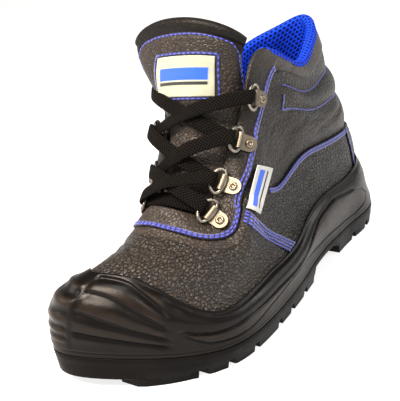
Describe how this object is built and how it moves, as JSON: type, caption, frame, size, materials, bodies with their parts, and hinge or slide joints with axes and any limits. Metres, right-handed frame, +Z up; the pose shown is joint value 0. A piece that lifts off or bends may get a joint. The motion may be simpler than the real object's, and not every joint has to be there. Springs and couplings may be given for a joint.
{
  "type": "steel-toe work shoe",
  "caption": "Left ankle-high safety shoe with toe guard, padded collar, wide tongue, laces through wire rings and a lugged sole.",
  "frame": {"origin": "middle of the shoe's box seen from above, on the floor under the sole", "axes": "+Y runs from toe to heel, +X towards the outer (lateral) side, +Z up"},
  "size_m": [0.1118, 0.3048, 0.1935],
  "materials": {
    "outsole": "matt moulded rubber",
    "sidewall": "satin moulded foam",
    "leather": "pebbled, low gloss",
    "insole": "felt",
    "label": "woven, plain",
    "lace": "flat woven cord",
    "metal": "dull nickel"
  },
  "bodies": {
    "root": {"outsole": "outsole", "midsole": "sidewall", "upper": "leather", "tongue": "leather", "insole": "insole", "tongue_patch": "label", "side_tag": "label", "lace_bar": "lace", "lace_cross_1": "lace", "lace_cross_2": "lace", "lace_cross_3": "lace", "lace_clip_outer_1": "metal", "lace_clip_outer_2": "metal", "lace_clip_outer_3": "metal", "lace_clip_outer_4": "metal", "lace_clip_inner_1": "metal", "lace_clip_inner_2": "metal", "lace_clip_inner_3": "metal", "lace_clip_inner_4": "metal", "rivet_outer_1": "metal", "rivet_outer_2": "metal", "rivet_outer_3": "metal", "rivet_outer_4": "metal", "rivet_inner_1": "metal", "rivet_inner_2": "metal", "rivet_inner_3": "metal", "rivet_inner_4": "metal", "lace_ring_outer_1": "metal", "lace_ring_outer_2": "metal", "lace_ring_outer_3": "metal", "lace_ring_outer_4": "metal", "lace_ring_inner_1": "metal", "lace_ring_inner_2": "metal", "lace_ring_inner_3": "metal", "lace_ring_inner_4": "metal"}
  },
  "joints": []
}
